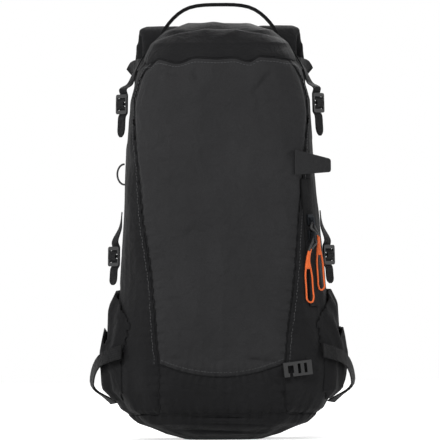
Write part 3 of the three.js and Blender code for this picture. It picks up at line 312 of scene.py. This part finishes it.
def woven_nylon(name, colour, pitch=WEAVE_PITCH, sheen=0.03, rough=0.72, depth=0.00012, gloss=0.08):
    """Coated woven nylon: matte, with crossing threads, faint cloudiness and a soft edge of light."""
    material = bpy.data.materials.new(name)
    material.use_nodes = True
    tree = material.node_tree
    shader = tree.nodes["Principled BSDF"]
    place = add_node(tree, "ShaderNodeTexCoord").outputs["Object"]
    threads = []
    for direction in ((1.0, 0.9, 0.0), (0.0, 0.15, 1.0)):
        along = add_node(tree, "ShaderNodeVectorMath", {0: place, 1: direction}, operation="DOT_PRODUCT")
        turned = add_node(
            tree, "ShaderNodeMath", {0: along.outputs["Value"], 1: 2 * math.pi / pitch}, operation="MULTIPLY"
        )
        threads.append(add_node(tree, "ShaderNodeMath", {0: turned.outputs[0]}, operation="SINE").outputs[0])
    weave = add_node(tree, "ShaderNodeMath", {0: threads[0], 1: threads[1]}, operation="MULTIPLY").outputs[0]
    cloud = add_node(tree, "ShaderNodeTexNoise", {"Vector": place, "Scale": 9.0, "Detail": 5.0, "Roughness": 0.6})
    fleck = add_node(tree, "ShaderNodeTexNoise", {"Vector": place, "Scale": 700.0, "Detail": 2.0})
    mottle = add_node(
        tree, "ShaderNodeMath", {0: cloud.outputs["Fac"], 1: fleck.outputs["Fac"]}, operation="MULTIPLY"
    )
    shade = add_node(tree, "ShaderNodeMapRange", {"Value": mottle.outputs[0], "From Min": 0.12, "From Max": 0.4})
    base = linear(colour)
    low = [c * 0.82 for c in base[:3]] + [1.0]
    high = [c * 1.2 for c in base[:3]] + [1.0]
    paint = add_node(tree, "ShaderNodeMix", {0: shade.outputs[0], 6: low, 7: high}, data_type="RGBA")
    crumple = add_node(
        tree, "ShaderNodeTexNoise", {"Vector": place, "Scale": 34.0, "Detail": 3.0, "Roughness": 0.55, "Distortion": 0.4}
    )
    soft = add_node(
        tree, "ShaderNodeBump", {"Strength": 0.9, "Distance": 0.0060, "Height": crumple.outputs["Fac"]}
    )
    bump = add_node(
        tree, "ShaderNodeBump", {"Strength": 0.7, "Distance": depth, "Height": weave, "Normal": soft.outputs[0]}
    )
    tree.links.new(paint.outputs[2], shader.inputs["Base Color"])
    tree.links.new(bump.outputs[0], shader.inputs["Normal"])
    shader.inputs["Roughness"].default_value = rough
    shader.inputs["Specular IOR Level"].default_value = gloss
    shader.inputs["Sheen Weight"].default_value = sheen
    shader.inputs["Sheen Roughness"].default_value = 0.5
    return material


BAG_MIDDLE_Y = -0.014


def smooth_step(low, high, value):
    share = min(1.0, max(0.0, (value - low) / (high - low)))
    return share * share * (3 - 2 * share)


def merged_mesh(nodes):
    """A bmesh of some CAD solids with their loose triangles joined up."""
    merged = bmesh.new()
    for node in nodes:
        merged.from_mesh(frame["nodes"][node].data)
    bmesh.ops.remove_doubles(merged, verts=merged.verts, dist=1e-5)
    return merged


def baked(obj):
    """obj's mesh with its modifiers applied."""
    bpy.context.view_layer.update()
    mesh = bpy.data.meshes.new_from_object(obj.evaluated_get(bpy.context.evaluated_depsgraph_get()))
    obj.modifiers.clear()
    obj.data = mesh
    return obj


def cloth_from(nodes, name, voxel, rounds):
    """Some CAD solids as one piece with an even mesh, softened over a few rounds."""
    merged = merged_mesh(nodes)
    mesh = bpy.data.meshes.new(name)
    merged.to_mesh(mesh)
    merged.free()
    piece = bpy.data.objects.new(name, mesh)
    scene.collection.objects.link(piece)
    remesh = piece.modifiers.new("remesh", "REMESH")
    remesh.mode = "VOXEL"
    remesh.voxel_size = voxel
    smooth = piece.modifiers.new("smooth", "SMOOTH")
    smooth.iterations = rounds
    smooth.factor = 0.5
    baked(piece)
    for face in piece.data.polygons:
        face.use_smooth = True
    return piece


# the whole bag as one closed skin, to find where seams and trim lie on it
skin = cloth_from(
    ["base_tub", "front_panel", "top_hood", "side_panel_right", "side_panel_left", "rear_panel"], "bag_skin", 0.004, 2
)
skin_tree = BVHTree.FromPolygons([v.co.copy() for v in skin.data.vertices], [list(f.vertices) for f in skin.data.polygons])
bpy.data.objects.remove(skin)
FRONTWARD = Vector((0, -1, 0))


def laid_on_skin(points, side):
    """Points laid on the bag's skin as seen from a side, with the skin's normals, evened out along the line."""
    hits = [skin_tree.ray_cast(Vector(point) + side * 0.4, -side, 0.8)[:2] for point in points]
    places = [hit for hit, _ in hits if hit is not None]
    normals = [normal for hit, normal in hits if hit is not None]
    for _ in range(3):
        places = [places[0]] + [(a + b * 2 + c) / 4 for a, b, c in zip(places, places[1:], places[2:])] + [places[-1]]
        normals = [normals[0]] + [(a + b + c).normalized() for a, b, c in zip(normals, normals[1:], normals[2:])] + [normals[-1]]
    return places, normals


def along_line(corners, pitch=0.004):
    """Points a pitch apart along straight runs between corners."""
    points = []
    for a, b in zip(corners, corners[1:]):
        a, b = Vector(a), Vector(b)
        count = max(1, round((b - a).length / pitch))
        points += [a.lerp(b, i / count) for i in range(count)]
    return points + [Vector(corners[-1])]


# Where the panels meet: each seam's name, its points seen from a side, and that side.
SIDE_SEAM = [(0.085, 0.104), (0.118, 0.430), (0.116, 0.464), (0.110, 0.488), (0.103, 0.501), (0.094, 0.512)]
HEM_END = (0.085, 0.104)
HEM_MIDDLE = 0.086
HOOD_LINE = 0.512
BASE_LINE = 0.036
REAR_LINE = 0.062
seams = {}
for side_name, sign in (("right", 1), ("left", -1)):
    outer = Vector((sign, 0, 0))
    seams["front_" + side_name] = laid_on_skin(along_line([(sign * x, 0, z) for x, z in SIDE_SEAM]), FRONTWARD)
    seams["base_" + side_name] = laid_on_skin(
        along_line([(sign * HEM_END[0], 0, BASE_LINE), (sign * HEM_END[0], 0, HEM_END[1])]), FRONTWARD
    )
    seams["foot_" + side_name] = laid_on_skin(along_line([(0, -0.085, BASE_LINE), (0, 0.07, BASE_LINE)]), outer)
    seams["hood_" + side_name] = laid_on_skin(along_line([(0, -0.045, HOOD_LINE), (0, 0.06, HOOD_LINE)]), outer)
    seams["rear_" + side_name] = laid_on_skin(along_line([(0, REAR_LINE, BASE_LINE), (0, REAR_LINE, 0.53)]), outer)
hem_shares = [i / 30 - 1 for i in range(61)]
seams["hem"] = laid_on_skin(
    [(HEM_END[0] * u, 0, HEM_MIDDLE + (HEM_END[1] - HEM_MIDDLE) * u * u) for u in hem_shares], FRONTWARD
)
seams["hood_front"] = laid_on_skin(
    along_line([(-0.100, 0, HOOD_LINE), (0.100, 0, HOOD_LINE)]), FRONTWARD
)
seams["foot_front"] = laid_on_skin(along_line([(-0.105, 0, BASE_LINE), (0.105, 0, BASE_LINE)]), FRONTWARD)
seams["top_arc"] = laid_on_skin(
    [(0.098 * u, 0, 0.5585 - 0.0200 * abs(u) ** 2.4) for u in (i / 30 - 1 for i in range(61))], FRONTWARD
)

seam_spots = [(place, travelled) for places, _ in seams.values() for travelled, place in enumerate(places)]
seam_finder = KDTree(len(seam_spots))
for number, (place, _) in enumerate(seam_spots):
    seam_finder.insert(place, number)
seam_finder.balance()

# trim that lies on the cloth holds it to its place
held_down = merged_mesh(
    [
        node
        for node in frame["nodes"]
        if node.startswith(("main_zip", "ski_", "axe_tab", "zip_slider", "haul_", "load_", "upper_side_s", "lower_side_s"))
    ]
)
trim_finder = BVHTree.FromBMesh(held_down)
held_down.free()


def outward(point):
    """The way that the bag's cloth bulges at a point."""
    lift = max(0.0, point.z - 0.5) * 3
    return Vector((point.x, (point.y - BAG_MIDDLE_Y) * 1.3, lift * 0.12)).normalized()


def crease(point, start, end, width, depth):
    """A single fold seen from the front, between two places, deepest halfway."""
    run = Vector((end[0] - start[0], 0, end[1] - start[1]))
    along = Vector((point.x - start[0], 0, point.z - start[1]))
    share = along.dot(run) / run.length_squared
    if not 0 < share < 1 or point.y > 0:
        return 0.0
    aside = (along - run * share).dot(Vector((run.z, 0, -run.x)).normalized())
    return -depth * math.sin(math.pi * share) * math.exp(-((aside / width) ** 2)) * (1 if aside > 0 else 0.55)


# folds that a full bag shows at the front: from the hood's corner, under the hood, above the hem and in the base
FOLDS = [
    ((0.074, 0.500), (0.043, 0.464), 0.0050, 0.0044),
    ((-0.034, 0.502), (-0.026, 0.482), 0.0045, 0.0031),
    ((-0.086, 0.500), (-0.050, 0.492), 0.0040, 0.0027),
    ((-0.080, 0.114), (-0.048, 0.110), 0.0045, 0.0034),
    ((0.022, 0.112), (0.080, 0.106), 0.0050, 0.0044),
    ((-0.018, 0.106), (0.012, 0.113), 0.0050, 0.0024),
    ((0.071, 0.092), (0.090, 0.052), 0.0060, 0.0037),
    ((-0.062, 0.033), (0.070, 0.030), 0.0022, 0.0044),
    ((-0.050, 0.024), (0.085, 0.021), 0.0024, 0.0041),
    ((-0.090, 0.017), (0.060, 0.011), 0.0024, 0.0037),
]


# how far the hood's lower edge wavers up and down along it, by x
HOOD_WAVE = [
    (-0.120, -0.003), (-0.096, -0.0024), (-0.086, 0.0037), (-0.058, -0.0019), (-0.031, 0.0052), (-0.004, 0.0036),
    (0.019, 0.0050), (0.041, -0.0006), (0.056, 0.0062), (0.073, 0.0048), (0.094, 0.0010), (0.120, -0.004),
]


def hood_wave(point):
    """How far the cloth at the hood's front edge is pulled up or down."""
    if point.y > -0.02 or abs(point.z - HOOD_LINE) > 0.05 or abs(point.x) >= 0.12:
        return 0.0
    number = max(i for i, (x, _) in enumerate(HOOD_WAVE) if x <= point.x)
    (x0, rise0), (x1, rise1) = HOOD_WAVE[number], HOOD_WAVE[number + 1]
    rise = rise0 + (rise1 - rise0) * smooth_step(x0, x1, point.x)
    return rise * math.exp(-(((point.z - HOOD_LINE) / 0.013) ** 2))


def slack(point, gather):
    """How far loose cloth stands out or in at a point: sags, creases, puckers along seams and gathered folds."""
    x, y, z = point
    sag = noise.noise(Vector((x * 10, y * 10, z * 7 + 3))) * 0.0042
    line = noise.noise(Vector((x * 24 + z * 9, y * 20, z * 9 - x * 6)))
    wrinkle = (0.3 - abs(line)) * 0.0040
    place, number, away = seam_finder.find(point)
    travelled = seam_spots[number][1]
    valley = -0.0017 * math.exp(-((away / 0.0055) ** 2)) + 0.0009 * math.exp(-(((away - 0.016) / 0.010) ** 2))
    beat = math.sin(travelled * 1.75 + 2.5 * noise.noise(place * 35))
    pucker = beat * 0.0013 * math.exp(-away / 0.012) * smooth_step(0.0, 0.003, away) * smooth_step(0.47, 0.3, z)
    around = math.atan2(x, -(y - BAG_MIDDLE_Y))
    flow = around * 19 + z * 16 + 4.5 * noise.noise(Vector((x * 9, y * 9, z * 6)))
    folds = math.sin(flow) * 0.0016 * smooth_step(0.26, 0.06, z) * smooth_step(0.3, 0.9, abs(around))
    folds += (1 + math.sin(flow * 1.6)) * gather * smooth_step(-0.082, -0.055, y)
    fold_depth = sum(crease(point, *fold) for fold in FOLDS) if y < -0.03 else 0.0
    _, _, _, trim_away = trim_finder.find_nearest(point)
    loose = smooth_step(0.002, 0.016, trim_away if trim_away is not None else 1.0)
    return (sag + wrinkle + pucker + folds) * loose + valley + fold_depth


def worked(point, gather=0.0):
    """Where a point of the bag's plain form goes once the cloth's slack and the hood's wavering edge are in it."""
    moved = point + outward(point) * slack(point, gather)
    return moved + Vector((0, 0, hood_wave(point)))


def sewn_panel(node, name, material, voxel=0.002, gather=0.0):
    """A cloth panel in place of a CAD solid, its edges kept true, with the bag's slack worked into it."""
    piece = cloth_from([node], name, voxel * (1.0), 1)
    true_shape = merged_mesh([node])
    true_tree = BVHTree.FromBMesh(true_shape)
    true_shape.free()
    for vertex in piece.data.vertices:
        near = true_tree.find_nearest(vertex.co)[0]
        vertex.co = near.lerp(vertex.co, 0.15)
        vertex.co = worked(vertex.co, gather)
    piece.data.materials.clear()
    piece.data.materials.append(material)
    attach(piece, "bag")
    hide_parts(node)
    return piece


front_cloth = woven_nylon("woven_nylon_charcoal", FRONT_GREY)
hood_cloth = woven_nylon("woven_nylon_hood", HOOD_GREY)
side_cloth = woven_nylon("woven_nylon_dark", SIDE_GREY)
stretch_cloth = woven_nylon("stretch_nylon_dark", STRETCH_GREY, pitch=0.0016, sheen=0.05, rough=0.82)
for node, panel_name, material, slot in [
    ("front_panel", "front_panel_cloth", front_cloth, "shell_cloth"),
    ("top_hood", "top_hood_cloth", hood_cloth, "shell_cloth"),
    ("base_tub", "base_tub_cloth", side_cloth, "dark_cloth"),
    ("side_panel_right", "side_panel_right_cloth", side_cloth, "dark_cloth"),
    ("side_panel_left", "side_panel_left_cloth", side_cloth, "dark_cloth"),
    ("rear_panel", "rear_panel_cloth", stretch_cloth, "stretch_cloth"),
]:
    sewn_panel(node, panel_name, material)
sewn_panel("side_pocket_right", "side_pocket_right_cloth", stretch_cloth, gather=0.0018)
sewn_panel("side_pocket_left", "side_pocket_left_cloth", stretch_cloth, gather=0.0018)

# ---- Seam binding and stitches ----
# Each seam is closed over a folded strip of dark cloth. The front's two side seams, the hem, the hood's front edge and
# the top arc have a row of lockstitch in grey thread beside them.
SEAM_RADIUS = 0.0011
STITCH_LENGTH = 0.0030
STITCH_PITCH = 0.0044
STITCH_THICK = 0.0006
STITCH_OFFSET = 0.0058
binding = woven_nylon("folded_binding_dark", "161617", depth=0.0002)
thread = braided_cord("bonded_thread_grey", "38383a")


def on_cloth(place, normal, stand):
    """A place on the bag's skin moved with the cloth, and off it by a stand."""
    return worked(place) + normal * stand


def binding_strip(name, seam, stand=-0.0004, radius=SEAM_RADIUS):
    strip = cord_curve(name, [on_cloth(place, normal, stand) for place, normal in zip(*seam)], radius, binding)
    strip.data.bevel_resolution = 2
    strip.data.resolution_u = 2
    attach(strip, "bag")


def stitch_row(name, seam, shift):
    """A row of stitches beside a seam, shifted across it."""
    row = bmesh.new()
    places, normals = seam
    travelled = 0.0
    due = STITCH_PITCH / 2
    for a, b, normal in zip(places, places[1:], normals):
        step = (b - a).length
        while due < travelled + step:
            along = (b - a).normalized()
            across = along.cross(normal).normalized()
            spot, face_normal = skin_tree.find_nearest(a + along * (due - travelled) + across * shift)[:2]
            turn = Matrix((along, across, normal)).transposed().to_4x4()
            size = Matrix.Diagonal((STITCH_LENGTH, STITCH_THICK, STITCH_THICK, 1.0))
            place = Matrix.Translation(on_cloth(spot, face_normal, STITCH_THICK * 0.4))
            bmesh.ops.create_cube(row, size=1.0, matrix=place @ turn @ size)
            due += STITCH_PITCH
        travelled += step
    mesh = bpy.data.meshes.new(name)
    row.to_mesh(mesh)
    row.free()
    stitches = bpy.data.objects.new(name, mesh)
    scene.collection.objects.link(stitches)
    stitches.data.materials.append(thread)
    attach(stitches, "bag")


for seam_name, seam in seams.items():
    binding_strip("seam_" + seam_name, seam)
    if seam_name != "top_arc":
        binding_strip("seam_tape_" + seam_name, seam, stand=-0.0030, radius=0.0024)
stitch_row("stitches_front_right", seams["front_right"], STITCH_OFFSET)
stitch_row("stitches_front_left", seams["front_left"], -STITCH_OFFSET)
stitch_row("stitches_hem", seams["hem"], -STITCH_OFFSET)
stitch_row("stitches_hood", seams["hood_front"], STITCH_OFFSET)
stitch_row("stitches_top_arc", seams["top_arc"], STITCH_OFFSET)

# ---- Straps, buckles and the rest of the hardware ----
# Webbing is tightly woven polyester. Ladder locks, hooks and sockets are moulded acetal with softened edges, and the
# hip hook and loop are cast aluminium.
WEBBING_PITCH = 0.0016


def webbing(name, colour):
    """Woven polyester webbing: close ribs across the strap, matte with a slight sheen on each rib."""
    return woven_nylon(name, colour, pitch=WEBBING_PITCH, sheen=0.05, rough=0.65, depth=0.0003)


def moulded(name, colour, rough=0.38, grain=0.00004):
    """Moulded acetal: dark and satin, with a fine spark-eroded grain that breaks up its highlights."""
    material = bpy.data.materials.new(name)
    material.use_nodes = True
    tree = material.node_tree
    shader = tree.nodes["Principled BSDF"]
    place = add_node(tree, "ShaderNodeTexCoord").outputs["Object"]
    grit = add_node(tree, "ShaderNodeTexNoise", {"Vector": place, "Scale": 1400.0, "Detail": 2.0})
    bump = add_node(tree, "ShaderNodeBump", {"Strength": 0.5, "Distance": grain, "Height": grit.outputs["Fac"]})
    worn = add_node(tree, "ShaderNodeTexNoise", {"Vector": place, "Scale": 120.0, "Detail": 4.0})
    gloss = add_node(
        tree, "ShaderNodeMapRange", {"Value": worn.outputs["Fac"], "To Min": rough - 0.06, "To Max": rough + 0.1}
    )
    shader.inputs["Base Color"].default_value = linear(colour)
    tree.links.new(gloss.outputs[0], shader.inputs["Roughness"])
    tree.links.new(bump.outputs[0], shader.inputs["Normal"])
    shader.inputs["IOR"].default_value = 1.48
    return material


def brushed_metal(name, colour, rough):
    """Cast or drawn metal with faint lines from its finishing, and a soft bright reflection."""
    material = moulded(name, colour, rough, 0.00003)
    material.node_tree.nodes["Principled BSDF"].inputs["Metallic"].default_value = 1.0
    material.node_tree.nodes["Principled BSDF"].inputs["IOR"].default_value = 1.5
    return material


black_webbing = webbing("woven_polyester_webbing", "111112")
acetal = moulded("moulded_acetal_black", "111112")
orange_acetal = moulded("moulded_nylon_orange", "e8591a", 0.42)
zinc = brushed_metal("plated_zinc_dark", "26282b", 0.42)
alloy = brushed_metal("drawn_aluminium", "a9adb0", 0.32)
motor_steel = brushed_metal("turned_steel", "8c9094", 0.3)
zip_tape = webbing("coated_zip_tape", "131314")
sheet_plastic = moulded("pressed_polyethylene_black", "26282a", 0.55)
case_plastic = moulded("moulded_abs_charcoal", "2c2e30", 0.5)
fan_plastic = moulded("moulded_nylon_white", "d8dadb", 0.45)
board_lacquer = moulded("lacquered_fibreglass_green", "1d5b35", 0.3)
cell_wrap = moulded("shrink_sleeve_blue", "2a3f6e", 0.32)
balloon_cloth = woven_nylon("coated_airbag_nylon_red", "d8431c", rough=0.6)


def finish_solid(node, material, edge):
    """Gives a CAD solid its material and softened edges."""
    solid = frame["nodes"][node]
    solid.data.materials.clear()
    solid.data.materials.append(material)
    weld = solid.modifiers.new("weld", "WELD")
    weld.merge_threshold = 1e-5
    bevel = solid.modifiers.new("edges", "BEVEL")
    bevel.width = edge
    bevel.segments = 2
    bevel.limit_method = "ANGLE"
    bevel.angle_limit = math.radians(38)


for nodes, material, edge in [
    ("haul_handle shoulder_webbing_right shoulder_webbing_left load_lifter_right load_lifter_left", black_webbing, 0.0004),
    ("sternum_webbing_right sternum_webbing_left hip_webbing_right hip_webbing_left", black_webbing, 0.0004),
    ("upper_side_strap_right upper_side_strap_left lower_side_strap_right lower_side_strap_left", black_webbing, 0.0004),
    ("ski_loop_right ski_loop_left", black_webbing, 0.0005),
    ("shoulder_lock_right shoulder_lock_left upper_side_lock_right upper_side_lock_left", acetal, 0.0006),
    ("lower_side_lock_right lower_side_lock_left ski_hook sternum_clip sternum_socket trigger_socket", acetal, 0.0006),
    ("trigger_handle power_switch", orange_acetal, 0.0008),
    ("zip_slider_upper zip_slider_lower", zinc, 0.0004),
    ("hip_clip_right hip_buckle_left", alloy, 0.0006),
    ("main_zip", zip_tape, 0.0004),
    ("trigger_cable", black_sheath, 0.0002),
    ("frame_sheet", sheet_plastic, 0.0005),
    ("frame_stay", alloy, 0.0002),
    ("unit_case unit_cover battery_door", case_plastic, 0.0004),
    ("fan_motor", motor_steel, 0.0004),
    ("fan_impeller", fan_plastic, 0.0003),
    ("control_board", board_lacquer, 0.0002),
    ("battery_pack", cell_wrap, 0.0004),
    ("airbag_balloon", balloon_cloth, 0.0005),
    ("axe_tab", front_cloth, 0.0005),
]:
    for node in nodes.split():
        finish_solid(node, material, edge)

# ---- Padding ----
# The back pad, shoulder straps and hip wings are closed-cell foam inside spacer mesh, stitched round the edge. The
# foam swells the cover between its seams.
PAD_VOXEL = 0.005
SWELL_CAP = 0.006
pad_cover = woven_nylon("spacer_mesh_black", "1d1d1e", pitch=0.0024, sheen=0.05, rough=0.85, depth=0.0005)


def swollen_pad(node, name, body):
    """A foam pad in place of its CAD solid, blown up a little by a cloth simulation."""
    piece = cloth_from([node], name, PAD_VOXEL, 3)
    before = [vertex.co.copy() for vertex in piece.data.vertices]
    cloth = piece.modifiers.new("cloth", "CLOTH")
    cloth.settings.use_pressure = True
    cloth.settings.uniform_pressure_force = 4
    cloth.settings.effector_weights.gravity = 0
    for step in range(1, 21):
        scene.frame_set(step)
    baked(piece)
    scene.frame_set(1)
    for vertex, start in zip(piece.data.vertices, before):
        move = vertex.co - start
        if move.length > SWELL_CAP:
            vertex.co = start + move * (SWELL_CAP / move.length)
    finer = piece.modifiers.new("finer", "SUBSURF")
    finer.levels = finer.render_levels = 1
    baked(piece)
    for face in piece.data.polygons:
        face.use_smooth = True
    piece.data.materials.clear()
    piece.data.materials.append(pad_cover)
    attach(piece, body)
    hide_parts(node)
    return piece


for pad_node, body in [
    ("back_pad", "bag"),
    ("shoulder_strap_right", "bag"),
    ("shoulder_strap_left", "bag"),
    ("hip_wing_right", "hip_right"),
    ("hip_wing_left", "hip_left"),
]:
    swollen_pad(pad_node, pad_node + "_foam", body)
